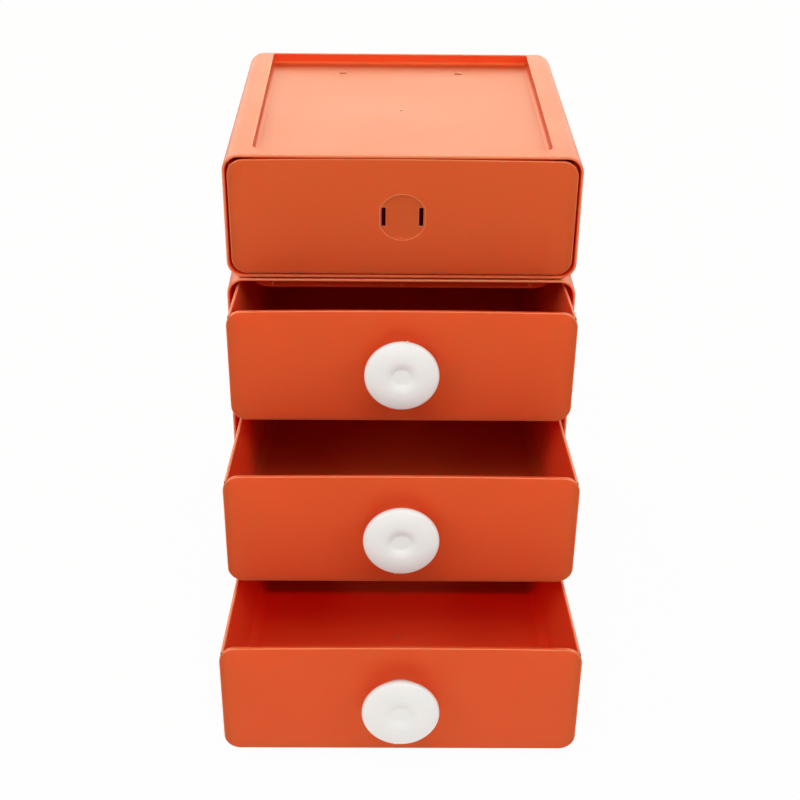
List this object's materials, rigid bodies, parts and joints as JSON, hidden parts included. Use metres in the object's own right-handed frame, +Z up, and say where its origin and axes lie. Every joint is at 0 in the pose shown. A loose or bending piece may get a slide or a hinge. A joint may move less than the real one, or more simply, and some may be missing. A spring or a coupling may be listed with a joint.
{
  "type": "desktop mini drawers",
  "caption": "Stack of small desktop drawers: open-fronted casings with a tray top, one-piece drawers and round white clip-on knobs.",
  "frame": {"origin": "middle of the overall box on the surface it stands on, with the drawers at their rest positions", "axes": "+Z up, the drawers open towards -Y, +X to the right seen from the front"},
  "size_m": [0.1798, 0.331, 0.2716],
  "materials": {
    "orange_plastic": "satin moulded polypropylene",
    "white_plastic": "gloss moulded ABS"
  },
  "bodies": {
    "casing_1": {"casing_1": "orange_plastic"},
    "casing_2": {"casing_2": "orange_plastic"},
    "casing_3": {"casing_3": "orange_plastic"},
    "casing_4": {"casing_4": "orange_plastic"},
    "drawer_1": {"drawer_1": "orange_plastic", "knob_1": "white_plastic"},
    "drawer_2": {"drawer_2": "orange_plastic", "knob_2": "white_plastic"},
    "drawer_3": {"drawer_3": "orange_plastic", "knob_3": "white_plastic"},
    "drawer_4": {"drawer_4": "orange_plastic"}
  },
  "joints": [
    {"name": "drawer_1_slide", "type": "slide", "parent": "casing_1", "child": "drawer_1", "axis": [0, -1, 0], "range_m": [-0.132, 0.018]},
    {"name": "drawer_2_slide", "type": "slide", "parent": "casing_2", "child": "drawer_2", "axis": [0, -1, 0], "range_m": [-0.083, 0.067]},
    {"name": "drawer_3_slide", "type": "slide", "parent": "casing_3", "child": "drawer_3", "axis": [0, -1, 0], "range_m": [-0.035, 0.115]},
    {"name": "drawer_4_slide", "type": "slide", "parent": "casing_4", "child": "drawer_4", "axis": [0, -1, 0], "range_m": [0, 0.15]},
    {"name": "casing_2_lift", "type": "slide", "parent": "casing_1", "child": "casing_2", "axis": [0, 0, 1], "range_m": [0, 0.012]},
    {"name": "casing_3_lift", "type": "slide", "parent": "casing_2", "child": "casing_3", "axis": [0, 0, 1], "range_m": [0, 0.012]},
    {"name": "casing_4_lift", "type": "slide", "parent": "casing_3", "child": "casing_4", "axis": [0, 0, 1], "range_m": [0, 0.012]}
  ]
}
